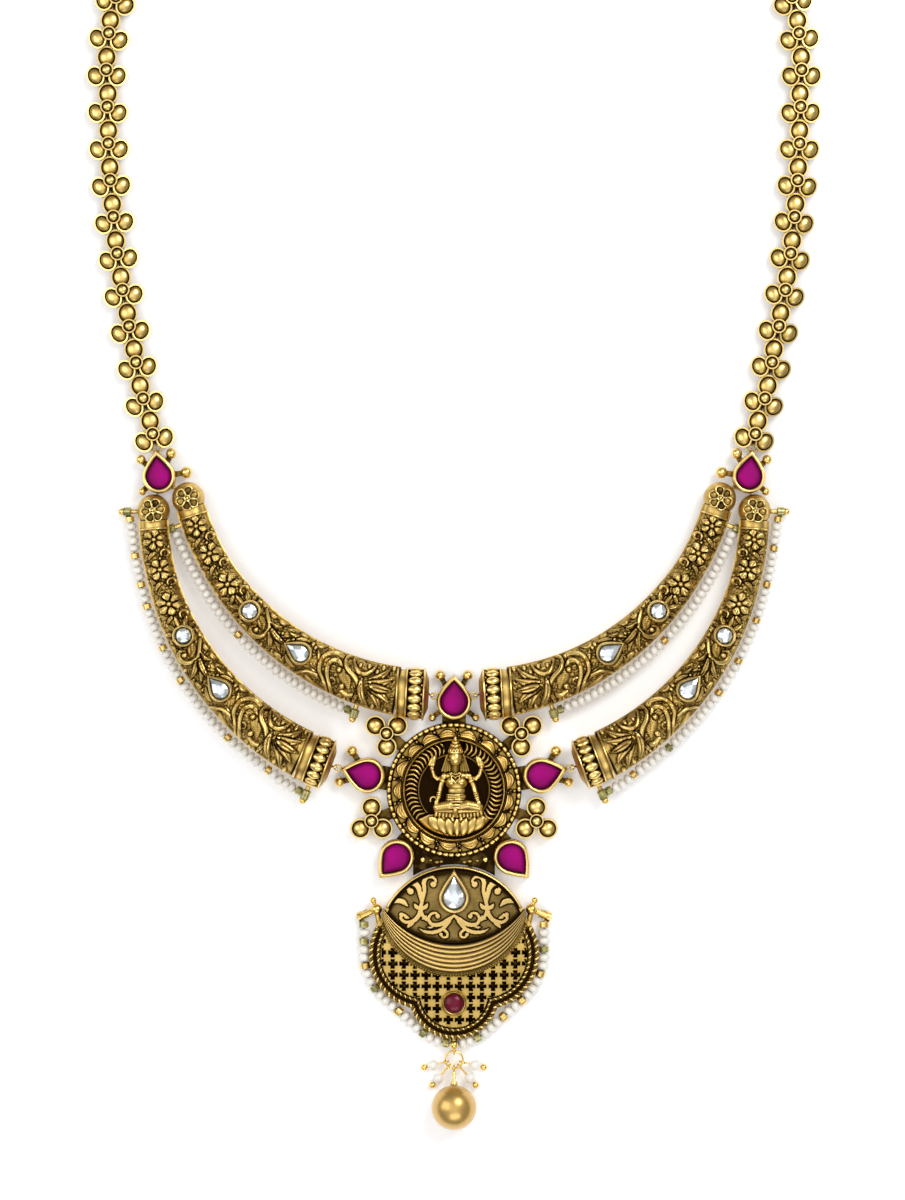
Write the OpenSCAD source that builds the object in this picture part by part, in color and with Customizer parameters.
// Temple jewellery necklace, laid flat with its front up.
// The origin is the centre of the medallion's flat back. X runs across the necklace, Y towards
// the back of the neck and Z out of the front. Sizes are in millimetres. What has a left and a
// right copy is drawn on the right, where X is positive, and mirrored.

/* [Neck loop] */
// Half width of the neck loop, between the centre lines of the two chains
loop_half_width = 73; // [66:0.5:80]
// Height of the loop's widest place above the medallion's centre
loop_height = 150; // [135:1:165]
// Half the distance that the clasp spans between the chains' last rings
clasp_half = 8; // [7:0.5:11]
// Radius of the plain barrel clasp
clasp_r = 1.6; // [1.4:0.1:2.4]

/* [Chain] */
// Radius of the large cup of a link, a little over that of its two side cups
cup_r = 2.05; // [1.8:0.05:2.3]
// Radius of the small cup over a link's middle
mid_cup_r = 1.38; // [1.2:0.02:1.6]
// Height of a large cup's rim
cup_h = 1.25; // [1:0.05:1.6]
// Width of a cup's rim
cup_rim = 0.32; // [0.25:0.01:0.4]
// Height of the domes above their cups' rims
dome_rise = 0.45; // [0.3:0.05:0.7]

/* [Rings and eyes] */
// Radius of a jump ring, to the middle of its wire
ring_r = 1; // [0.95:0.01:1.2]
// Radius of an eye, to the middle of its wire
eye_r = 0.68; // [0.65:0.01:0.8]
// Radius of the wire of rings and eyes
wire_r = 0.2; // [0.16:0.01:0.21]

/* [Shoulder settings] */
// Distance of a shoulder stone from the centre line
shoulder_x = 61.9; // [58:0.1:66]
// Height of a shoulder stone above the medallion's centre
shoulder_y = 65.8; // [62:0.1:70]
// Radius of a shoulder setting's round end
shoulder_r = 3.5; // [3.1:0.1:3.9]
// Distance from the round end's centre to the setting's tip
shoulder_tip = 5.6; // [5:0.1:6.2]
// Direction of the tip, in degrees
shoulder_lean = 83; // [75:1:95]

/* [Curved bars] */
// Angle that an inner bar bends through, in degrees
inner_bend = 72; // [64:1:76]
// Angle that an outer bar bends through, in degrees
outer_bend = 69; // [62:1:74]
// Radius of a bar at its slim upper end
bar_r_top = 2.95; // [2.6:0.05:3.2]
// Radius of a bar at its thick lower end
bar_r_low = 5.1; // [4.6:0.05:5.4]
// Radius of the bulb that closes a bar's upper end
bulb_r = 3.45; // [3.2:0.05:3.7]
// Height of the fluted collar's flutes above the bar
flute_rise = 0.5; // [0.3:0.05:0.8]
// Length of the fluted collar
collar_len = 3.6; // [3:0.1:4.4]
// Length of the plain band above the collar
band_len = 2.4; // [1.8:0.1:3]
// Length of the domed cap below the collar
cap_len = 0.9; // [0.7:0.1:1.4]
// Radius of the flowers on a bar
flower_r = 1.9; // [1.6:0.05:2.2]
// Height of the flowers and scrolls above the bar
relief_rise = 0.45; // [0.3:0.05:0.6]
// Radius of the round stones
round_stone_r = 1.75; // [1.5:0.05:1.95]
// Radius of the drop stones' round end
drop_stone_r = 1.85; // [1.6:0.05:2.1]
// Distance from that round end's centre to the drop stone's tip
drop_stone_tip = 3.5; // [3:0.1:4]

/* [Pearl strings] */
// Radius of the pearl strings
string_r = 0.92; // [0.8:0.02:1.05]
// Gap between a string and the metal beside it
string_gap = 0.15; // [0.1:0.01:0.3]

/* [Medallion] */
// Radius of the medallion's beaded edge
medallion_r = 14.4; // [13.8:0.1:15.5]
// Thickness of the back plate
plate_h = 1.2; // [1:0.1:1.6]
// Height of the medallion's beaded edge
edge_h = 3.2; // [2.8:0.1:3.8]
// Radius of the dark field behind the goddess
field_r = 7.6; // [7.4:0.1:8]
// Outer radius of the ribbed wreath
wreath_r = 10.5; // [10.2:0.1:10.8]
// Number of ribs in a full turn of the wreath
wreath_ribs = 52; // [40:1:60]
// Number of leaves round the wreath
leaves = 18; // [14:1:22]
// Gap between the medallion's edge and the settings round it
halo_gap = 0.4; // [0.2:0.05:1]

/* [Settings] */
// Radius of a ruby setting's round end
setting_r = 3.7; // [3.4:0.1:4]
// Distance from the round end's centre to the setting's tip
setting_tip = 5.8; // [5.4:0.1:6.4]
// Height of a ruby setting
setting_h = 4.6; // [4.2:0.1:5.2]
// Width of the rim round a ruby
setting_rim = 0.9; // [0.7:0.05:1.1]
// Clearance between a stone and its setting
stone_gap = 0.08; // [0.05:0.01:0.15]

/* [Lower pendant] */
// Distance of the pendant's top edge below the medallion's centre
pendant_top = 16; // [15.8:0.1:18]
// Radius of the pendant's upper arch
arch_r = 16.2; // [15.4:0.1:17]
// Radius of the pendant's side lobes
side_lobe_r = 11.7; // [11:0.1:12.4]
// Distance of a side lobe's centre from the centre line
side_lobe_x = 6.2; // [5.6:0.1:6.8]
// Radius of the bottom lobe
low_lobe_r = 9.6; // [9:0.1:10.2]
// Thickness of the frame's back plate
frame_plate_h = 1; // [0.8:0.1:1.4]
// Height of the frame's wall
frame_h = 3; // [2.7:0.1:3.6]
// Thickness of the frame's wall
frame_wall = 0.75; // [0.6:0.05:1]
// Pitch of the crosses pierced through the screen
cross_pitch = 2.5; // [2.3:0.05:2.8]
// Size of a pierced cross
cross_size = 1.75; // [1.4:0.05:1.85]
// Thickness of the pierced screen
screen_h = 0.7; // [0.5:0.05:0.9]
// Width of the ribbed crescent at its middle
crescent_w = 6.1; // [5.4:0.1:6.6]
// Number of ribs on the crescent
crescent_ribs = 6; // [4:1:7]
// Radius of the cabochon ruby
cabochon_r = 2.05; // [1.8:0.05:2.3]

/* [Pearl drop] */
// Radius of the golden pearl
drop_pearl_r = 4.7; // [4.2:0.1:5.2]
// Radius of the small pearls
small_pearl_r = 1.15; // [0.95:0.05:1.2]
// Radius of the drop's jump ring, to the middle of its wire
drop_ring_r = 1.85; // [1.75:0.05:2.1]
// Radius of the pins through the small pearls
pin_r = 0.2; // [0.15:0.01:0.25]

/* [Hidden] */
$fn = 32;

// Colours
old_gold = [0.72, 0.53, 0.22];
bright_gold = [0.83, 0.66, 0.33];
ruby_pink = [0.72, 0.03, 0.5];
dark_ruby = [0.4, 0.02, 0.12];
crystal = [0.86, 0.9, 0.92];
pearl_white = [0.93, 0.92, 0.88];
golden_pearl = [0.78, 0.62, 0.34];

// Clearances
part_gap = 0.12;
overlap = 0.25;

// Height of the back eyes' centres, so that they rest on the surface
eye_z = eye_r + wire_r;
// Height of the front links between bars and medallion
link_z = 3.9;
// Distance from metal to the centre of an eye on it, and from metal to metal over two linked eyes
eye_out = 0.85 * eye_r;
link_len = 2 * eye_out + eye_r;

// Settings round the medallion: angle of the place, direction of the tip
halo_r = medallion_r + halo_gap + setting_r;
halo_top = [90, 90];
halo_side = [9.5, 15];
halo_low = [-49.5, -49.5];
// Trefoils of cups round the medallion: angle of the place, direction of the single cup
trefoils = [[40, 270], [-20.5, 90]];
trefoil_spread = 2.85;

function polar(r, a) = [r * cos(a), r * sin(a)];
function at3(p, z) = [p.x, p.y, z];
function mix(a, b, t) = a + (b - a) * t;
function clamp01(t) = min(1, max(0, t));
function heading(v) = atan2(v.y, v.x);
function flip(p) = [-p.x, p.y];

// Outline of a drop: a round end about the origin, and a tip on the X axis
drop_bulge = 0.035;
function drop_radius(r, tip, a) =
    let (edge = acos(r / tip), off = abs(a > 180 ? a - 360 : a))
    off >= edge ? r : r / cos(edge - off) * (1 + drop_bulge * sin(180 * off / edge));
function drop_outline(r, tip, n) =
    [for (i = [0:n - 1]) polar(drop_radius(r, tip, 360 * i / n), 360 * i / n)];
function round_outline(r, n) = [for (i = [0:n - 1]) polar(r, 360 * i / n)];

// Solid between rings of points, each ring counter-clockwise seen from the last one
module loft(rings) {
    n = len(rings[0]);
    m = len(rings);
    polyhedron(
        points = [for (ring = rings) for (p = ring) p],
        faces = concat(
            [[for (i = [0:n - 1]) i]],
            [[for (i = [n - 1:-1:0]) (m - 1) * n + i]],
            [for (j = [0:m - 2]) for (i = [0:n - 1])
                [j * n + i, (j + 1) * n + i, (j + 1) * n + (i + 1) % n, j * n + (i + 1) % n]]
        )
    );
}

// Round ring of the tube that follows a path, square to the path's heading
function tube_ring(p, z, h, r, sides) =
    [for (i = [0:sides - 1])
        let (a = 360 * i / sides, side = polar(r * cos(a), h + 90))
        [p.x + side.x, p.y + side.y, z + r * sin(a)]];

// Cut stone: girdle, sloping crown facets and a flat table
module cut_stone(outline, z_low, z_girdle, z_table, table_share) {
    function level(share, z) = [for (p = outline) [p.x * share, p.y * share, z]];
    loft([level(0.82, z_low), level(1, z_girdle), level(table_share, z_table)]);
}

module wire_ring(r) {
    rotate_extrude() translate([r, 0]) circle(wire_r);
}

// Ring that stands upright in the plane of the direction
module upright_eye(p, direction, z) {
    translate(at3(p, z)) rotate([90, 0, direction]) wire_ring(eye_r);
}

module flat_eye(p, z) {
    translate(at3(p, z)) wire_ring(eye_r);
}

module rod(p, q, r) {
    v = q - p;
    flat = norm([v.x, v.y]);
    translate(p) rotate([0, 90 - atan2(v.z, flat), atan2(v.y, v.x)]) cylinder(h = norm(v), r = r);
}

module both_sides() {
    children();
    mirror([1, 0, 0]) children();
}

// Domed cup: a rim, and a dome that rises over it
module cup(r, h, rise) {
    dome = r - 1.5 * cup_rim;
    rotate_extrude() polygon([
        [0, 0], [r, 0], [r, h], [r - cup_rim, h], [dome, h - 0.26],
        [dome * 0.6, h + rise * 0.8], [0, h + rise]
    ]);
}

// Route of the right chain: it leaves the shoulder, leans out to the widest place and closes
// over the top on a half circle
shoulder = [shoulder_x, shoulder_y];
chain_start = shoulder + polar(shoulder_tip + 0.7, shoulder_lean);
lower_arc_r = (pow(loop_half_width - chain_start.x, 2) + pow(loop_height - chain_start.y, 2))
    / (2 * (loop_half_width - chain_start.x));
lower_arc_angle = asin((loop_height - chain_start.y) / lower_arc_r);
lower_arc_len = lower_arc_r * lower_arc_angle * PI / 180;
upper_arc_len = loop_half_width * (PI / 2 - asin(clasp_half / loop_half_width) * PI / 180);
chain_len = lower_arc_len + upper_arc_len;
function chain_point(s) =
    s < lower_arc_len
    ? [loop_half_width - lower_arc_r, loop_height]
        + polar(lower_arc_r, s / lower_arc_r * 180 / PI - lower_arc_angle)
    : [0, loop_height] + polar(loop_half_width, (s - lower_arc_len) / loop_half_width * 180 / PI);

// Places in a link, up from the ring below it
mid_cup_y = ring_r + mid_cup_r + 0.42;
side_cup_r = cup_r * 0.9;
side_cup = [side_cup_r + 0.4, mid_cup_y - 1.2];
side_cup_tilt = 16;
top_cup_y = mid_cup_y + mid_cup_r / 2 + cup_r;
cup_spacing = cup_r + side_cup_r + 0.3;
least_pitch = top_cup_y + sqrt(pow(cup_spacing, 2) - pow(side_cup.x, 2)) - side_cup.y;
link_count = floor(chain_len / least_pitch);
link_pitch = chain_len / link_count;
cup_z = eye_z + eye_r * 0.55;
mid_cup_h = cup_h + 0.75;

// One link: three large cups, a small cup over their middle and two back eyes
module chain_link() {
    union() {
        translate([0, top_cup_y, cup_z]) cup(cup_r, cup_h, dome_rise);
        for (side = [-1, 1])
            translate([side * side_cup.x, side_cup.y, cup_z + 0.2]) rotate([0, side * side_cup_tilt, 0])
                cup(side_cup_r, cup_h, dome_rise);
        translate([0, mid_cup_y, cup_z - 0.3]) cup(mid_cup_r, mid_cup_h + 0.3, dome_rise * 0.7);
    }
    upright_eye([0, ring_r], 90, eye_z);
    upright_eye([0, link_pitch - ring_r], 90, eye_z);
}

// Stretch of a chain: its links, and the rings that join them
module chain(links, rings) {
    color(bright_gold) {
        for (i = links) {
            low = chain_point(i * link_pitch);
            high = chain_point((i + 1) * link_pitch);
            translate(at3(low, 0)) rotate(heading(high - low) - 90) chain_link();
        }
        for (i = rings) translate(at3(chain_point(i * link_pitch), eye_z)) wire_ring(ring_r);
    }
}

// Each chain comes in two stretches, which meet where a link of the upper one takes the last ring
// of the lower one
half_count = ceil(link_count / 2);
module chain_lower() {
    chain([0:half_count - 1], [0:half_count]);
}

module chain_upper() {
    chain([half_count:link_count - 1], [half_count + 1:link_count]);
}

// Plain barrel clasp with an eye at each end
clasp_end = chain_point(chain_len);
clasp_eye_x = clasp_end.x - ring_r;
clasp_barrel = clasp_eye_x - eye_r * 0.8;
module clasp() {
    color(bright_gold) {
        translate([0, clasp_end.y, clasp_r]) rotate([0, 90, 0]) rotate_extrude()
            polygon([
                [0, -clasp_barrel], [clasp_r * 0.6, -clasp_barrel], [clasp_r, -clasp_barrel * 0.8],
                [clasp_r, clasp_barrel * 0.8], [clasp_r * 0.6, clasp_barrel], [0, clasp_barrel]
            ]);
        both_sides() upright_eye([clasp_eye_x, clasp_end.y], 0, eye_z);
    }
}

// Wall round a stone, standing on a floor, with the place for the stone left open
module setting(outline_outer, outline_inner, z_low, z_floor, z_top) {
    difference() {
        union() {
            translate([0, 0, z_low]) linear_extrude(z_top - 0.45 - z_low) polygon(outline_outer);
            translate([0, 0, z_low]) linear_extrude(z_top - z_low)
                polygon([for (p = outline_outer) p * 0.94]);
        }
        translate([0, 0, z_floor]) linear_extrude(z_top) polygon(outline_inner);
    }
}

outline_points = 24;
stone_h = 1.5;
stone_rise = 0.35;
function inner_tip(r, tip) = tip - (r - setting_rim < r ? setting_rim * 1.5 : 0);

module drop_setting(r, tip, z_low, z_top) {
    setting(
        drop_outline(r, tip, outline_points),
        drop_outline(r - setting_rim, inner_tip(r, tip), outline_points),
        z_low, z_top - stone_h, z_top
    );
}

// Ruby that lies in a drop setting with the same sizes
module drop_ruby(r, tip, z_top) {
    stone_r = r - setting_rim - stone_gap;
    color(ruby_pink)
        cut_stone(
            drop_outline(stone_r, inner_tip(r, tip) - 2 * stone_gap, 16),
            z_top - stone_h + stone_gap, z_top - 0.45, z_top + stone_rise, 0.76
        );
}

// Shoulder setting, where the two bars of a side meet the chain
shoulder_z = 2 * eye_z + 0.15;
shoulder_top = shoulder_z + 3.1;
shoulder_balls = [[3.9, 3.6, 1.05], [-2.5, 4.9, 1.15], [-5.7, 0.9, 1.25], [3.6, -3.1, 0.85]];
outer_bulb_reach = shoulder_r + bulb_r + 0.3;
inner_bulb_reach = outer_bulb_reach + 0.4;
bulb_spacing = 2 * bulb_r + 0.8;
outer_bulb_angle = -81;
inner_bulb_angle = outer_bulb_angle - acos(
    (pow(outer_bulb_reach, 2) + pow(inner_bulb_reach, 2) - pow(bulb_spacing, 2))
    / (2 * outer_bulb_reach * inner_bulb_reach));
outer_bulb = shoulder + polar(outer_bulb_reach, outer_bulb_angle);
inner_bulb = shoulder + polar(inner_bulb_reach, inner_bulb_angle);
// Distance of a bulb's eye, and of the shoulder's eye in it, from the bulb's centre
bulb_eye_reach = bulb_r + 0.45;
shoulder_eye_reach = bulb_eye_reach + eye_r;

module shoulder_plate() {
    translate([0, 0, shoulder_z]) {
        for (ball = shoulder_balls) rotate(heading(ball)) {
            reach = norm([ball.x, ball.y]);
            translate([0, -0.6, 0]) cube([reach - 0.35, 1.2, 0.6]);
            translate([reach, 0, ball.z * 0.6]) sphere(ball.z);
        }
    }
}

// Post that carries an eye below the plate
post_r = 0.34;
post_out = 0.15;

module shoulder_eye(bulb) {
    toward = (shoulder - bulb) / norm(shoulder - bulb);
    place = bulb + toward * shoulder_eye_reach;
    foot = bulb + toward * (shoulder_eye_reach + eye_r + post_out);
    flat_eye(place, eye_z);
    translate(at3(foot, eye_z - wire_r))
        cylinder(h = shoulder_z - eye_z + wire_r + overlap, r = post_r);
}

module shoulder_setting() {
    color(old_gold) {
        translate(at3(shoulder, 0)) {
            rotate(shoulder_lean) drop_setting(shoulder_r, shoulder_tip, shoulder_z, shoulder_top);
            shoulder_plate();
        }
        shoulder_eye(outer_bulb);
        shoulder_eye(inner_bulb);
        eye_place = chain_start - polar(ring_r, shoulder_lean);
        upright_eye(eye_place, shoulder_lean, eye_z);
        translate(at3(eye_place - polar(eye_r + post_out, shoulder_lean), eye_z - wire_r))
            cylinder(h = shoulder_z - eye_z + wire_r + overlap, r = post_r);
    }
}

module shoulder_stone() {
    translate(at3(shoulder, 0)) rotate(shoulder_lean)
        drop_ruby(shoulder_r, shoulder_tip, shoulder_top);
}

// Settings' centres round the medallion
top_setting = polar(halo_r, halo_top[0]);
side_setting = polar(halo_r, halo_side[0]);
low_setting = polar(halo_r, halo_low[0]);

// Curved bars: each runs on one arc from its bulb's centre to the end of its cap. A bar is a record
// of those two points, the angle it bends through, the direction of the link at its cap and the
// shares of its length between which its pearl string runs
inner_link_angle = 17;
inner_cap = top_setting + polar(setting_r + link_len, inner_link_angle);
outer_cap = side_setting + polar(setting_tip + link_len, halo_side[1]);

inner_bar = [inner_bulb, inner_cap, inner_bend, inner_link_angle + 180, 0.078, 0.79];
outer_bar = [outer_bulb, outer_cap, outer_bend, halo_side[1] + 180, 0.012, 0.95];
function bulb_of(bar) = bar[0];
function cap_of(bar) = bar[1];
function bend_of(bar) = bar[2];
function link_dir_of(bar) = bar[3];
function string_start_of(bar) = bar[4];
function string_end_of(bar) = bar[5];
function bar_heading(bar, t) = heading(cap_of(bar) - bulb_of(bar)) - bend_of(bar) * (t - 0.5);
function bar_radius(bar) = norm(cap_of(bar) - bulb_of(bar)) / (2 * sin(bend_of(bar) / 2));
function bar_len(bar) = bar_radius(bar) * bend_of(bar) * PI / 180;
function bar_point(bar, t) =
    bulb_of(bar) + polar(bar_radius(bar), bar_heading(bar, 0) - 90)
    + polar(bar_radius(bar), bar_heading(bar, t) + 90);

collar_r = bar_r_low + flute_rise;
taper_start = 0.22;
function share_from_cap(bar, distance) = 1 - distance / bar_len(bar);
function bar_r(bar, t) =
    let (t_end = share_from_cap(bar, cap_len + collar_len))
    mix(bar_r_top, bar_r_low, clamp01((t - taper_start) / (t_end - taper_start)));
function bar_z(t) = mix(bulb_r, collar_r, t);

// Frame that stands on the bar's front, with X along the bar
module on_bar(bar, t, lateral) {
    h = bar_heading(bar, t);
    p = bar_point(bar, t);
    r = bar_r(bar, t);
    lean = asin(lateral / r);
    translate(at3(p, bar_z(t))) rotate([0, 0, h]) rotate([-lean, 0, 0]) translate([0, 0, r]) children();
}

// Frame that is square to the bar, with Z along the bar towards its cap
module across_bar(bar, t) {
    translate(at3(bar_point(bar, t), bar_z(t))) rotate([0, 90, bar_heading(bar, t)]) children();
}

module flower(r, rise, petals) {
    petal = r * 0.46;
    for (i = [0:petals - 1])
        translate(at3(polar(r - petal, 360 * i / petals + 20), rise - petal)) sphere(petal);
    translate([0, 0, rise * 0.4]) sphere(r * 0.28);
}

// Raised scroll: an open curl of wire with a ball in it
module scroll(r, turn, wire) {
    rotate_extrude(angle = turn) translate([r, 0]) circle(wire);
    sphere(wire * 1.5);
    for (a = [0, turn]) translate(at3(polar(r, a), 0)) sphere(wire * 1.02);
}

// Relief along a bar, as shares of its length: where, how far to the side, and which way it turns
flower_places = [0.088, 0.18, 0.287];
round_stone_share = 0.392;
drop_stone_share = 0.592;
scrolls = [
    // share, lateral share, radius, start, turn
    [0.46, 0.38, 1.1, 200, 250],
    [0.5, -0.4, 1.15, 20, 240],
    [0.545, 0.5, 0.8, 150, 230],
    [0.68, 0.42, 1.35, 180, 250],
    [0.71, -0.42, 1.35, 0, 250],
    [0.77, 0.05, 1.4, 90, 260],
    [0.84, 0.48, 1.2, 200, 240],
    [0.845, -0.45, 1.2, 10, 240]
];
stone_wall = 0.5;

module bar_tube(bar) {
    steps = 22;
    t_end = share_from_cap(bar, cap_len + collar_len);
    loft([for (i = [0:steps])
        let (t = mix(0.015, t_end, i / steps))
        tube_ring(bar_point(bar, t), bar_z(t), bar_heading(bar, t), bar_r(bar, t), 16)]);
}

// Fluted collar, plain band and domed cap, turned about the bar's lower end
module bar_end(bar) {
    flutes = 18;
    flute_r = 0.62;
    across_bar(bar, 1) {
        translate([0, 0, -cap_len - collar_len]) {
            cylinder(h = collar_len, r = collar_r - 0.35);
            cylinder(h = 0.5, r = collar_r);
            for (i = [0:flutes - 1]) rotate(360 * i / flutes)
                translate([collar_r - flute_r - 0.12, 0, 0.3]) cylinder(h = collar_len - 0.6, r = flute_r);
            translate([0, 0, collar_len - 0.45]) cylinder(h = 0.45, r = collar_r);
        }
        translate([0, 0, -cap_len]) cylinder(h = cap_len, r1 = collar_r - 0.3, r2 = collar_r - 2.2);
        translate([0, 0, -cap_len - collar_len - band_len]) {
            cylinder(h = band_len + 0.1, r = bar_r_low - 0.05);
            cylinder(h = 0.4, r = bar_r_low + 0.25);
            translate([0, 0, band_len - 0.5]) cylinder(h = 0.5, r = bar_r_low + 0.3);
        }
    }
    link_dir = link_dir_of(bar);
    upright_eye(cap_of(bar) + polar(eye_out, link_dir), link_dir, link_z);
    rod(at3(cap_of(bar) - polar(2, link_dir), link_z),
        at3(cap_of(bar) + polar(0.08, link_dir), link_z), post_r);
}

// Bulb with its flower, and the eye that reaches below the shoulder setting
module bulb(bar) {
    toward = heading(shoulder - bulb_of(bar));
    translate(at3(bulb_of(bar), bulb_r)) {
        sphere(bulb_r);
        rotate(bar_heading(bar, 0)) translate([0, 0, bulb_r - 0.1]) flower(flower_r, 0.25, 6);
    }
    across_bar(bar, 0.052) cylinder(h = 0.5, r = bar_r_top + 0.2);
    upright_eye(bulb_of(bar) + polar(bulb_eye_reach, toward), toward, eye_z);
    rod(
        at3(bulb_of(bar) + polar(0.8, toward), eye_z),
        at3(bulb_of(bar) + polar(bulb_eye_reach - eye_r, toward), eye_z),
        post_r
    );
}

function string_z(t) = bar_z(t) * 0.6;
// The string clears the bulb, the band and the collar too, where it runs beside them
function beside_r(bar, t) =
    let (t_band = share_from_cap(bar, cap_len + collar_len + band_len))
    t < 0.08
    ? mix(bulb_r, bar_r(bar, t), t / 0.08)
    : mix(bar_r(bar, t), collar_r, clamp01((t - t_band + 0.045) / 0.04));
function string_point(bar, t) =
    bar_point(bar, t) + polar(beside_r(bar, t) + string_gap + string_r, bar_heading(bar, t) + 90);
peg_r = 0.6;

// Pegs that the string is tied to, at both of its ends
module string_pegs(bar) {
    for (end = [[string_start_of(bar), -1], [string_end_of(bar), 1]]) {
        t = end[0] + end[1] * (peg_r + part_gap) / bar_len(bar);
        z = string_z(t);
        inside = bar_point(bar, t) + polar(bar_r(bar, t) * 0.3, bar_heading(bar, t) + 90);
        outside = string_point(bar, t) + polar(string_r * 1.2, bar_heading(bar, t) + 90);
        rod(at3(inside, mix(bar_z(t), z, 0.4)), at3(outside, z), peg_r);
    }
}

module bar_relief(bar) {
    for (t = flower_places) on_bar(bar, t, 0) flower(flower_r, relief_rise, 5);
    for (s = scrolls)
        on_bar(bar, s[0], s[1] * bar_r(bar, s[0]))
            translate([0, 0, relief_rise * 0.25]) rotate(s[3]) scroll(s[2], s[4], 0.3);
}

stone_top = 0.7;
function stone_z(bar, t) = bar_z(t) + bar_r(bar, t);

module stone_frame(bar, t) {
    translate(at3(bar_point(bar, t), stone_z(bar, t))) rotate(bar_heading(bar, t)) children();
}

module bar(bar) {
    color(old_gold) difference() {
        union() {
            bar_tube(bar);
            bulb(bar);
            bar_end(bar);
            bar_relief(bar);
            string_pegs(bar);
            stone_frame(bar, round_stone_share) translate([0, 0, -1.6])
                cylinder(h = 1.6 + stone_top, r = round_stone_r + stone_wall);
            stone_frame(bar, drop_stone_share) translate([0, 0, -1.6])
                linear_extrude(1.6 + stone_top) rotate(180) polygon(drop_outline(
                    drop_stone_r + stone_wall, drop_stone_tip + stone_wall * 1.6, outline_points));
        }
        stone_frame(bar, round_stone_share) translate([0, 0, stone_top - stone_h])
            cylinder(h = 4, r = round_stone_r + stone_gap);
        stone_frame(bar, drop_stone_share) translate([0, 0, stone_top - stone_h])
            linear_extrude(4) rotate(180) polygon(drop_outline(
                drop_stone_r + stone_gap, drop_stone_tip + 2 * stone_gap, outline_points));
    }
}

module round_stone(bar) {
    color(crystal) stone_frame(bar, round_stone_share)
        cut_stone(
            round_outline(round_stone_r - stone_gap, 12),
            stone_top - stone_h + stone_gap, stone_top - 0.35, stone_top + 0.35, 0.5
        );
}

module drop_stone(bar) {
    color(crystal) stone_frame(bar, drop_stone_share) rotate(180)
        cut_stone(
            drop_outline(drop_stone_r - stone_gap, drop_stone_tip - stone_gap, 16),
            stone_top - stone_h + stone_gap, stone_top - 0.35, stone_top + 0.35, 0.5
        );
}

// String of seed pearls along a bar, as the tube that the pearls fill
module pearl_string(bar) {
    steps = 28;
    color(pearl_white) loft([for (i = [0:steps])
        let (t = mix(string_start_of(bar), string_end_of(bar), i / steps))
        tube_ring(string_point(bar, t), string_z(t), bar_heading(bar, t), string_r, 8)]);
}

// Medallion
edge_wire = 0.55;
leaf_ring_r = (wreath_r + medallion_r - 2 * edge_wire) / 2;
wreath_mid = (field_r + wreath_r) / 2;
leaf_z = edge_h - 0.5;

// Turned disc: the field, the rim round the wreath, the ledge under the leaves and the edge's bed
module medallion_disc() {
    rotate_extrude() polygon([
        [0, 0], [medallion_r - 0.3, 0], [medallion_r - 0.3, edge_h - 0.5],
        [medallion_r - 2 * edge_wire, edge_h - 0.5], [medallion_r - 2 * edge_wire, leaf_z - 0.5],
        [wreath_r + 0.35, leaf_z - 0.3], [wreath_r + 0.25, edge_h + 0.3], [wreath_r, edge_h + 0.3],
        [wreath_r, plate_h], [0, plate_h]
    ]);
}

// Raised bed of the wreath, with room for the crown above and the lotus below
module wreath_bed() {
    for (start = [-38, 104]) rotate(start) rotate_extrude(angle = 114) polygon([
        [field_r, plate_h - overlap], [wreath_r + 0.1, plate_h - overlap],
        [wreath_r + 0.1, plate_h + 1], [field_r + 0.4, plate_h + 0.8],
        [field_r + 0.3, plate_h + 1.4], [field_r, plate_h + 1.4]
    ]);
}

module beaded_edge() {
    beads = floor(2 * PI * (medallion_r - edge_wire) / (edge_wire * 3.2));
    for (i = [0:beads - 1])
        translate(at3(polar(medallion_r - edge_wire, 360 * i / beads), edge_h - 0.4))
            sphere(edge_wire * 0.96);
}

module wreath() {
    step = 360 / wreath_ribs;
    for (start = [-36, 106], a = [start:step:start + 110]) rotate(a)
        rod([field_r + 0.2, 0, plate_h + 1], [wreath_r - 0.05, 0, plate_h + 1.5], 0.33);
}

module leaf_ring() {
    for (i = [0:leaves - 1]) rotate(360 * (i + 0.5) / leaves) {
        translate([leaf_ring_r, 0, leaf_z - 1.25]) rotate([0, 10, 0]) cylinder(h = 1.6, r = 1.12);
        rotate(180 / leaves) translate([leaf_ring_r + 0.55, 0, leaf_z - 0.3]) sphere(0.4);
    }
}

module trefoil(single_dir) {
    for (a = [0, 125, 235]) translate(at3(polar(trefoil_spread, single_dir + a), plate_h - 0.2))
        cup(cup_r - 0.05, cup_h + 0.9, dome_rise);
    translate([0, 0, 0.4]) cup(mid_cup_r + 0.1, plate_h + mid_cup_h + 0.5, dome_rise * 0.7);
    for (a = [0, 125, 235]) rotate(single_dir + a) translate([0, -0.7, 0])
        cube([trefoil_spread, 1.4, plate_h]);
}

// Plate arm from the disc out to a setting or trefoil
module halo_arm(angle, reach, width) {
    rotate(angle) translate([medallion_r - 2, -width / 2, 0])
        cube([reach - medallion_r + 2, width, plate_h]);
}

module halo_setting(place, arm_w) {
    halo_arm(place[0], halo_r, arm_w);
    translate(at3(polar(halo_r, place[0]), 0)) rotate(place[1])
        drop_setting(setting_r, setting_tip, 0, setting_h);
}

halo_balls = [
    // x, y, radius
    [2.9, halo_r + 5.6, 1.1], [4.6, halo_r - 3.3, 0.85], [6.6, -medallion_r - 0.3, 0.85]
];
function granule_root(p) = p.y > 0 ? [0, halo_r] : p * 0.8;
side_balls = [[4.4, 4.1, 1.15], [5.3, -2.9, 1.05]];

module halo_ball(p, r) {
    translate(at3(p, plate_h + r * 0.6)) sphere(r);
    translate([p.x, p.y, 0]) cylinder(h = plate_h + 0.3, r = r * 0.85);
}

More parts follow.
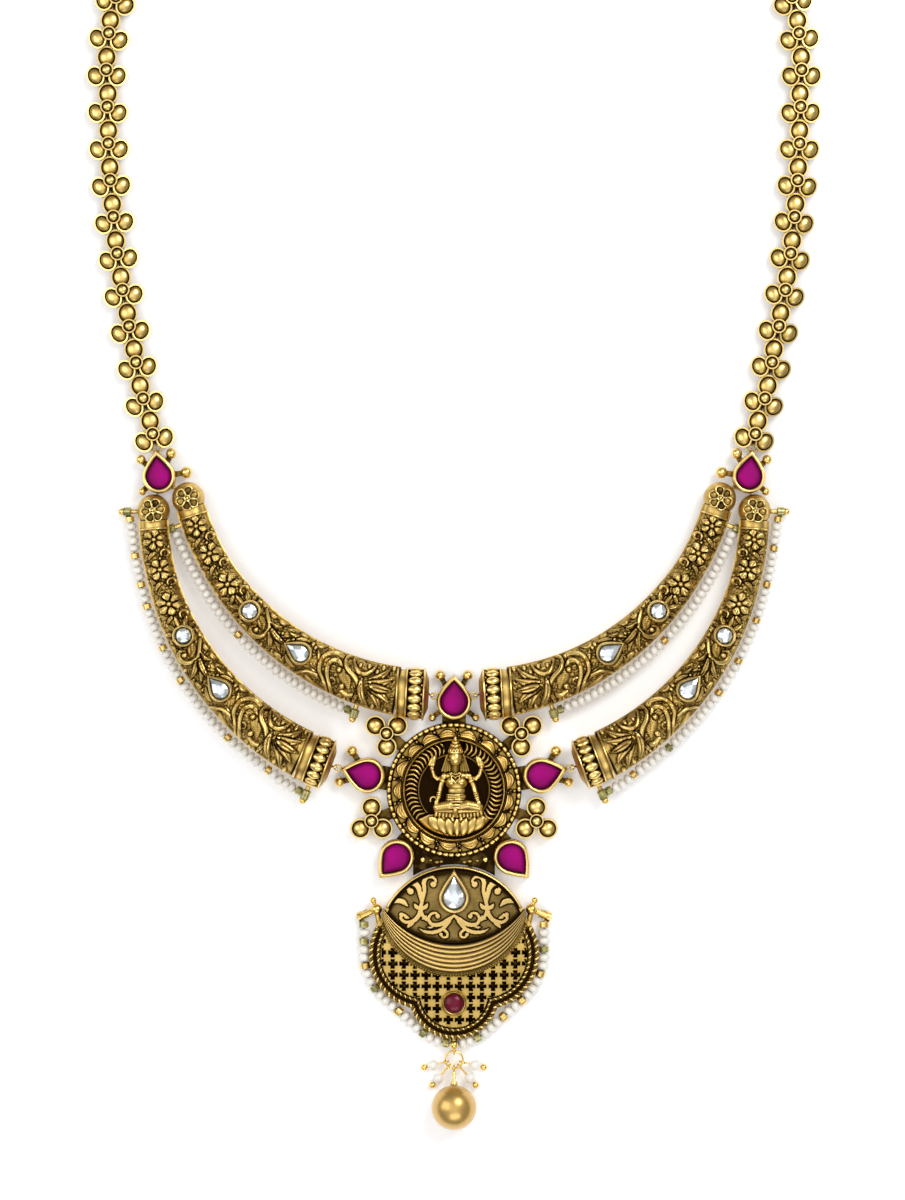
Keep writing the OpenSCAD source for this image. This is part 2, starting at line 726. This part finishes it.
module halo_side_balls() {
    translate(at3(side_setting, 0)) rotate(halo_side[1]) for (ball = side_balls) {
        translate([ball.x, ball.y, plate_h + 0.6]) sphere(ball.z);
        rotate(heading(ball)) translate([0, -0.6, 0])
            cube([norm([ball.x, ball.y]) - 0.35, 1.2, plate_h + 0.4]);
    }
}

module halo_balls_with_arms() {
    for (ball = halo_balls) {
        root = granule_root([ball.x, ball.y]);
        arm = [ball.x, ball.y] - root;
        halo_ball(ball, ball.z);
        translate(root) rotate(heading(arm)) translate([0, -0.55, 0])
            cube([norm(arm) - 0.35, 1.1, plate_h]);
    }
}

// Interlocked eyes between the medallion and the pendant: the gap that they bridge and its middle
pendant_link_x = 3.4;
link_low_y = -pendant_top - arch_r + sqrt(pow(arch_r, 2) - pow(pendant_link_x, 2));
link_high_y = -sqrt(pow(medallion_r - 0.3, 2) - pow(pendant_link_x, 2));
link_mid_y = (link_low_y + link_high_y) / 2;

module medallion() {
    color(old_gold) {
        medallion_disc();
        wreath_bed();
        beaded_edge();
        wreath();
        leaf_ring();
        halo_setting(halo_top, 5);
        both_sides() {
            halo_setting(halo_side, 5);
            halo_setting(halo_low, 5);
            halo_side_balls();
            halo_balls_with_arms();
            for (place = trefoils) {
                halo_arm(place[0], halo_r, 2.4);
                translate(at3(polar(halo_r, place[0]), 0)) trefoil(place[1]);
            }
            flat_eye(top_setting + polar(setting_r + eye_out, inner_link_angle), link_z);
            flat_eye(side_setting + polar(setting_tip + eye_out, halo_side[1]), link_z);
            upright_eye([pendant_link_x, link_mid_y + eye_r / 2], 90, eye_z);
            rod([pendant_link_x, link_high_y + 1, eye_z],
                [pendant_link_x, link_mid_y + eye_r * 1.5, eye_z], 0.42);
        }
    }
}

module halo_ruby(place) {
    translate(at3(polar(halo_r, place[0]), 0)) rotate(place[1])
        drop_ruby(setting_r, setting_tip, setting_h);
}

// Goddess, seated on a lotus
figure_x = 0.3;
figure_z = plate_h + part_gap;

module limb(points, r) {
    for (p = points) translate(p) rotate([90, 0, 0]) sphere(r * 1.1);
    for (i = [1:len(points) - 1]) rod(points[i - 1], points[i], r);
}

module lotus() {
    petals = 7;
    bowl_r = wreath_r - 0.9;
    linear_extrude(1.1) polygon(concat([[5.8, -5.35], [-5.8, -5.35]],
        [for (a = [222:12:318]) polar(bowl_r, a)]));
    for (i = [0:petals - 1]) {
        a = (i - (petals - 1) / 2) * 17;
        translate([4.9 * sin(a), -bowl_r * cos(a) * 0.93 + 1.15, 0.9]) rotate(90 - a * 0.8)
            linear_extrude(1) polygon(drop_outline(0.95, 2.3, 12));
    }
}

module lap() {
    limb([[-3.4, -3.6, 1.5], [0, -3.2, 1.9], [4.2, -3.6, 1.5]], 1.05);
    translate([-4.1, -5.5, 0]) cube([8.8, 1.6, 1.5]);
    for (i = [0:11]) rod([-3.8 + 0.75 * i, -4.3, 1.6], [-3.8 + 0.75 * i, -5.7, 1.3], 0.34);
    for (y = [-2, -1.2]) rod([-1.6, y, 1.5], [1.6, y, 1.5], 0.5);
}

module torso() {
    levels = [
        // y, half width, depth
        [-2.2, 1.5, 1.7], [-0.6, 1.35, 1.8], [1.6, 2, 2.1], [3.2, 2.45, 2], [3.9, 1.7, 1.6]
    ];
    loft([for (level = levels) [for (i = [0:11])
        [level[1] * cos(30 * i), level[0], level[2] * (1 - sin(30 * i)) / 2]]]);
    for (side = [-1, 1]) translate([side, 2.1, 1.7]) sphere(0.85);
    rod([0, 3.4, 1.2], [0, 6.2, 1.8], 0.7);
}

module head() {
    translate([0, 7, 1.95]) rotate([90, 0, 0]) sphere(1.3);
    translate([0, 6.2, 2.2]) rotate([90, 0, 0]) sphere(0.75);
    for (side = [-1, 1]) linear_extrude(1.5)
        polygon([for (p = [[0.6, 7.6], [1.4, 7.2], [3, 4.3], [2.2, 3.4], [0.6, 3.6]]) [side * p.x, p.y]]);
    translate([0, 7.9, 1.9]) rotate([-70, 0, 0]) rotate_extrude() polygon([
        [0, -0.6], [1.5, -0.3], [1.6, 0.1], [1.3, 0.3], [1.4, 0.7], [1.05, 1],
        [1.1, 1.4], [0.75, 1.7], [0.7, 2.1], [0, 2.7]
    ]);
}

module arms() {
    for (side = [-1, 1]) {
        limb([[side * 2.2, 3.2, 1.1], [side * 3.2, 0.6, 1.2], [side * 3.9, -2.6, 1.7]], 0.5);
        limb([[side * 2.2, 2.6, 0.9], [side * 3.8, 2.6, 1.1], [side * 4.8, 4.5, 2.2]], 0.42);
        translate([side * 4.8, 5.3, 2.5]) {
            sphere(0.75);
            rotate([-90, 0, side * 12]) cylinder(h = 1.5, r1 = 0.7, r2 = 0.2);
        }
    }
    translate([-4.6, -2.3, 1.5]) rotate(-60) rotate_extrude(angle = 250) translate([0.6, 0]) circle(0.25);
}

module goddess_figure() {
    $fn = 20;
    color(bright_gold) translate([figure_x, 0, figure_z]) {
        union() {
            lotus();
            lap();
            torso();
            head();
        }
        arms();
    }
}

// Lower pendant: four arcs make its outline. Its large arcs and domes have more facets than the rest
arc_fn = 120;
arch_centre = [0, -pendant_top - arch_r];
side_lobe = [side_lobe_x, arch_centre.y - 2.2];
low_lobe = [0, arch_centre.y - 10.5];
module pendant_outline(inset) {
    translate(arch_centre) circle(arch_r - inset, $fn = arc_fn);
    both_sides() translate(side_lobe) circle(side_lobe_r - inset, $fn = arc_fn);
    translate(low_lobe) circle(low_lobe_r - inset, $fn = arc_fn);
}

// Lower edges of the scroll dome and of the crescent below it
dome_low_r = 18.6;
dome_low_centre = [0, arch_centre.y + dome_low_r];
crescent_r = 15.6;
crescent_centre = [0, arch_centre.y - crescent_w + crescent_r];

pendant_ball = [16.3, arch_centre.y + 7.1];
fringe_start = arch_centre.y + 4.7;
peg_z = 1.7;
pendant_low = low_lobe.y - low_lobe_r;
drop_z = 2;
drop_eye_y = pendant_low - 2.6;

// The crescent's footprint, which the frame's wall leaves free
module crescent_outline(outset) {
    difference() {
        translate(crescent_centre) circle(crescent_r + outset, $fn = arc_fn);
        translate(dome_low_centre) circle(dome_low_r - outset, $fn = arc_fn);
    }
}
corner_root = side_lobe + polar(side_lobe_r - 0.4, 33);

module pendant_frame() {
    color(old_gold) {
        linear_extrude(frame_plate_h) pendant_outline(0);
        linear_extrude(frame_h) difference() {
            pendant_outline(0);
            pendant_outline(frame_wall);
            crescent_outline(part_gap);
        }
        both_sides() {
            // Eye behind the arch
            flat_eye([pendant_link_x, link_mid_y - eye_r / 2], eye_z);
            rod([pendant_link_x, link_low_y - frame_wall * 0.8, eye_z],
                [pendant_link_x, link_mid_y - eye_r * 1.5, eye_z], 0.42);
            // Balls at the pendant's corners, and the peg that holds the fringe
            translate(at3(pendant_ball, frame_h - 0.9)) rotate(165) sphere(1.2);
            translate(at3(pendant_ball + [0.7, 1.9], frame_h - 0.9)) sphere(0.65);
            rod(at3(pendant_ball, frame_h - 0.9), at3(pendant_ball + [0.7, 1.9], frame_h - 0.9), 0.45);
            rod(at3(corner_root, frame_h - 1.1), at3(pendant_ball, frame_h - 1.1), 0.6);
            rod(at3(pendant_ball, peg_z), at3([fringe_x + 0.6, fringe_start + 0.9], peg_z), 0.62);
        }
        // Stem over the fringe, with its ball and the eye for the drop
        rod([0, pendant_low + 0.4, frame_h - 0.3], [0, pendant_low - 1.2, frame_h + 0.1], 0.5);
        translate([0, pendant_low - 1.2, frame_h + 0.2]) sphere(0.9);
        rod([0, pendant_low - 1.2, frame_h], [0, drop_eye_y + eye_r * 0.3, drop_z + eye_r], 0.3);
        upright_eye([0, drop_eye_y], 90, drop_z);
    }
}

// Raised curls on the dome: centre, first and last radius, first direction, turn, width
curls = [
    [[5.6, -21.4], 1.5, 0.9, -70, 230, 0.9],
    [[8.3, -22.3], 1.7, 0.8, 160, -220, 1],
    [[6.7, -26.4], 2.9, 2.6, 100, 70, 1],
    [[4.2, -28.4], 1.4, 0.8, -20, 240, 0.8],
    [[9.4, -26.3], 1.6, 0.7, 200, -230, 0.9],
    [[2.1, -30.3], 1.5, 0.8, 60, -240, 0.8],
    [[11.6, -24.3], 1.5, 1.1, 20, 120, 1.2],
    [[6.6, -29.6], 2.2, 1.6, 180, 90, 0.8]
];
function curl_line(c, t, side) =
    c[0] + polar(mix(c[1], c[2], t) + side * c[5] / 2 * (0.35 + 0.65 * sin(180 * t)), c[3] + c[4] * t);
function curl_outline(c, n) = concat(
    [for (i = [0:n]) curl_line(c, i / n, 1)],
    [for (i = [n:-1:0]) curl_line(c, i / n, -1)]);

pendant_stone_place = [0, arch_centre.y + 9.6];
pendant_setting_r = 3.3;
pendant_setting_tip = 6;
dome_top = frame_h + 2;
dome_ball_r = 55;
dome_seat = frame_plate_h + part_gap;

module dome_outline(inset) {
    intersection() {
        translate(arch_centre) circle(arch_r - frame_wall - inset, $fn = arc_fn);
        translate(dome_low_centre) circle(dome_low_r - inset, $fn = arc_fn);
    }
}

module dome_ball(rise) {
    translate([0, arch_centre.y + 7.6, dome_top + rise - dome_ball_r])
        sphere(dome_ball_r, $fn = arc_fn);
}

module scroll_dome() {
    stone_floor = dome_top + 0.5 - stone_h;
    color(old_gold) difference() {
        union() {
            intersection() {
                translate([0, 0, dome_seat]) linear_extrude(9) dome_outline(part_gap);
                dome_ball(0);
            }
            intersection() {
                translate([0, 0, dome_seat]) linear_extrude(9) intersection() {
                    dome_outline(part_gap + 0.3);
                    both_sides() for (c = curls) polygon(curl_outline(c, 7));
                }
                dome_ball(0.35);
            }
            translate(at3(pendant_stone_place, frame_h + part_gap)) rotate(90)
                linear_extrude(dome_top + 0.5 - frame_h - part_gap)
                    polygon(drop_outline(pendant_setting_r, pendant_setting_tip, outline_points));
        }
        translate(at3(pendant_stone_place, stone_floor)) rotate(90) linear_extrude(5)
            polygon(drop_outline(pendant_setting_r - setting_rim,
                inner_tip(pendant_setting_r, pendant_setting_tip), outline_points));
    }
}

module pendant_stone() {
    stone_r = pendant_setting_r - setting_rim - stone_gap;
    tip = inner_tip(pendant_setting_r, pendant_setting_tip) - 2 * stone_gap;
    color(crystal) translate(at3(pendant_stone_place, 0)) rotate(90)
        cut_stone(drop_outline(stone_r, tip, 16),
            dome_top + 0.5 - stone_h + stone_gap, dome_top + 0.1, dome_top + 0.75, 0.5);
}

// Crescent below the dome: sections from horn to horn, with ribs across the top
crescent_steps = 20;
horn_in = 53;
horn_out = 77;
function crescent_ring(u) =
    let (
        inner = dome_low_centre + polar(dome_low_r + part_gap, 270 + horn_in * u),
        outer = crescent_centre + polar(crescent_r, 270 + horn_out * u),
        width = norm(inner - outer),
        high = frame_h + 0.3 + 1.7 * cos(80 * u)
    )
    concat(
        [at3(inner, dome_seat)],
        [for (k = [0:2 * crescent_ribs])
            let (v = k / (2 * crescent_ribs))
            at3(mix(inner, outer, v),
                high - 0.8 * pow(2 * v - 1, 2) * cos(80 * u) + (k % 2) * width * 0.06)],
        [at3(outer, dome_seat)]
    );

module crescent_band() {
    color(bright_gold)
        loft([for (j = [0:crescent_steps]) crescent_ring(2 * j / crescent_steps - 1)]);
}

// Pierced screen: a slightly domed sheet with rows of crosses cut through it
screen_ball_r = 120;
screen_top = frame_h + 0.9;
cabochon_place = [0, low_lobe.y - 1.9];
bezel_r = cabochon_r + 0.55;
bezel_top = screen_top + 1.3;

module screen_ball(rise) {
    translate([0, low_lobe.y, screen_top + rise - screen_ball_r])
        sphere(screen_ball_r, $fn = 2 * arc_fn);
}

module screen_outline(inset) {
    difference() {
        pendant_outline(inset);
        translate(crescent_centre) circle(crescent_r + part_gap, $fn = arc_fn);
        translate([-20, crescent_centre.y - 4.8]) square([40, 40]);
    }
}

function on_screen(p, margin) =
    norm(p - crescent_centre) > crescent_r + margin
    && norm(p - cabochon_place) > bezel_r + margin * 0.7
    && (norm(p - low_lobe) < low_lobe_r - margin - 0.4
        || norm([abs(p.x), p.y] - side_lobe) < side_lobe_r - margin - 0.4);

module cross() {
    arm = cross_size * 0.36;
    square([cross_size, arm], center = true);
    square([arm, cross_size], center = true);
}

screen_inset = frame_wall + part_gap;
module jali_screen() {
    color(old_gold) difference() {
        union() {
            intersection() {
                linear_extrude(9) difference() {
                    screen_outline(screen_inset);
                    for (column = [-7:6], row = [0:9]) {
                        p = [cross_pitch * (column + 0.5), cabochon_place.y + cross_pitch * (row - 2.5)];
                        if (on_screen(p, cross_size * 0.75)) translate(p) cross();
                    }
                }
                difference() {
                    screen_ball(screen_h);
                    screen_ball(0);
                }
            }
            translate(at3(cabochon_place, screen_top - 0.3))
                cylinder(h = bezel_top - screen_top + 0.3, r = bezel_r);
        }
        translate(at3(cabochon_place, screen_top + 0.1)) cylinder(h = 5, r = cabochon_r + stone_gap);
    }
}

module cabochon_ruby() {
    color(dark_ruby) translate(at3(cabochon_place, screen_top + 0.1 + stone_gap)) {
        cylinder(h = bezel_top - screen_top - 0.2, r = cabochon_r);
        translate([0, 0, bezel_top - screen_top - 0.2]) intersection() {
            translate([0, 0, 0.9 - cabochon_r * 1.4]) sphere(cabochon_r * 1.4);
            cylinder(h = 2, r = cabochon_r);
        }
    }
}

// Fringe of seed pearls: straight down, round a side lobe, and round the bottom lobe
fringe_reach = string_gap + string_r;
fringe_x = side_lobe.x + side_lobe_r + fringe_reach;
lobe_step = low_lobe - side_lobe;
tangent_angle = heading(lobe_step) + acos((side_lobe_r - low_lobe_r) / norm(lobe_step));
function fringe_half() = concat(
    [[fringe_x, fringe_start], [fringe_x, mix(fringe_start, side_lobe.y, 0.5)]],
    [for (i = [0:8])
        side_lobe + polar(side_lobe_r + fringe_reach, mix(0, tangent_angle, i / 8))],
    [for (i = [0:8])
        low_lobe + polar(low_lobe_r + fringe_reach, mix(tangent_angle, -90, i / 8))]
);
function fringe_path() = let (half = fringe_half(), n = len(half))
    concat(half, [for (i = [n - 2:-1:0]) flip(half[i])]);

module pearl_fringe() {
    path = fringe_path();
    last = len(path) - 1;
    color(pearl_white) loft([for (i = [0:last])
        let (h = heading(path[min(last, i + 1)] - path[max(0, i - 1)]))
        tube_ring(path[i], string_r + 0.1, h, string_r, 8)]);
}

// Golden pearl drop
drop_ring_y = drop_eye_y - drop_ring_r;
drop_loop_y = drop_ring_y - drop_ring_r;
drop_pearl_y = drop_loop_y - drop_pearl_r - 3.2;
drop_axis = [0, drop_pearl_y, drop_pearl_r] - [0, drop_loop_y, drop_z];
drop_way = drop_axis / norm(drop_axis);

module drop_ring() {
    color(bright_gold) translate([0, drop_ring_y, drop_z])
        rotate_extrude() translate([drop_ring_r, 0]) circle(wire_r);
}

module drop_pin() {
    loop = [0, drop_loop_y, drop_z];
    color(bright_gold) {
        upright_eye([0, drop_loop_y], 90, drop_z);
        rod(loop + drop_way * eye_r, loop + drop_way * (norm(drop_axis) - 0.5), 0.32);
        rod(loop + drop_way * (norm(drop_axis) - drop_pearl_r - 0.75),
            loop + drop_way * (norm(drop_axis) - drop_pearl_r - 0.1), 0.75);
    }
}

module drop_pearl() {
    centre = [0, drop_pearl_y, drop_pearl_r];
    color(golden_pearl) difference() {
        translate(centre) sphere(drop_pearl_r);
        rod(centre - drop_way * (drop_pearl_r + 1), centre - drop_way * (drop_pearl_r - 0.15), 1.1);
        rod(centre - drop_way * (drop_pearl_r + 1), centre - drop_way * 0.3, 0.42);
    }
}

// Small pearls round the drop ring: direction from its centre, reach of the pearl
upper_pearl = [-15, 4.6];
lower_pearl = [-50, 5.2];
function small_point(place, reach, z) = at3([0, drop_ring_y] + polar(reach, place[0]), z);

module small_pin(place) {
    loop = small_point(place, drop_ring_r, drop_z);
    tip = small_point(place, place[1] + small_pearl_r + 0.75, 0.85);
    way = (tip - loop) / norm(tip - loop);
    color(bright_gold) {
        upright_eye([loop.x, loop.y], place[0], drop_z);
        rod(loop + way * eye_r, tip, pin_r);
        translate(tip) sphere(0.7);
    }
}

module small_pearl(place) {
    loop = small_point(place, drop_ring_r, drop_z);
    tip = small_point(place, place[1] + small_pearl_r + 0.75, 0.85);
    way = (tip - loop) / norm(tip - loop);
    reach = (place[1] - drop_ring_r) / norm([way.x, way.y]);
    color(pearl_white) difference() {
        translate(loop + way * reach) sphere(small_pearl_r);
        rod(loop + way * (reach - 2), loop + way * (reach + 2), pin_r + stone_gap);
    }
}

chain_lower();  // chain_lower_right
mirror([1, 0, 0]) chain_lower();  // chain_lower_left
chain_upper();  // chain_upper_right
mirror([1, 0, 0]) chain_upper();  // chain_upper_left
clasp();
shoulder_setting();  // shoulder_right
mirror([1, 0, 0]) shoulder_setting();  // shoulder_left
shoulder_stone();  // shoulder_stone_right
mirror([1, 0, 0]) shoulder_stone();  // shoulder_stone_left
bar(inner_bar);  // bar_inner_right
mirror([1, 0, 0]) bar(inner_bar);  // bar_inner_left
bar(outer_bar);  // bar_outer_right
mirror([1, 0, 0]) bar(outer_bar);  // bar_outer_left
round_stone(inner_bar);  // round_stone_inner_right
mirror([1, 0, 0]) round_stone(inner_bar);  // round_stone_inner_left
round_stone(outer_bar);  // round_stone_outer_right
mirror([1, 0, 0]) round_stone(outer_bar);  // round_stone_outer_left
drop_stone(inner_bar);  // drop_stone_inner_right
mirror([1, 0, 0]) drop_stone(inner_bar);  // drop_stone_inner_left
drop_stone(outer_bar);  // drop_stone_outer_right
mirror([1, 0, 0]) drop_stone(outer_bar);  // drop_stone_outer_left
pearl_string(inner_bar);  // pearl_string_inner_right
mirror([1, 0, 0]) pearl_string(inner_bar);  // pearl_string_inner_left
pearl_string(outer_bar);  // pearl_string_outer_right
mirror([1, 0, 0]) pearl_string(outer_bar);  // pearl_string_outer_left
medallion();
goddess_figure();
halo_ruby(halo_top);  // ruby_top
halo_ruby(halo_side);  // ruby_side_right
mirror([1, 0, 0]) halo_ruby(halo_side);  // ruby_side_left
halo_ruby(halo_low);  // ruby_low_right
mirror([1, 0, 0]) halo_ruby(halo_low);  // ruby_low_left
pendant_frame();
scroll_dome();
pendant_stone();
crescent_band();
jali_screen();
cabochon_ruby();
pearl_fringe();
drop_ring();
drop_pin();
drop_pearl();
small_pin(upper_pearl);  // small_pin_upper_right
mirror([1, 0, 0]) small_pin(upper_pearl);  // small_pin_upper_left
small_pin(lower_pearl);  // small_pin_lower_right
mirror([1, 0, 0]) small_pin(lower_pearl);  // small_pin_lower_left
small_pearl(upper_pearl);  // small_pearl_upper_right
mirror([1, 0, 0]) small_pearl(upper_pearl);  // small_pearl_upper_left
small_pearl(lower_pearl);  // small_pearl_lower_right
mirror([1, 0, 0]) small_pearl(lower_pearl);  // small_pearl_lower_left
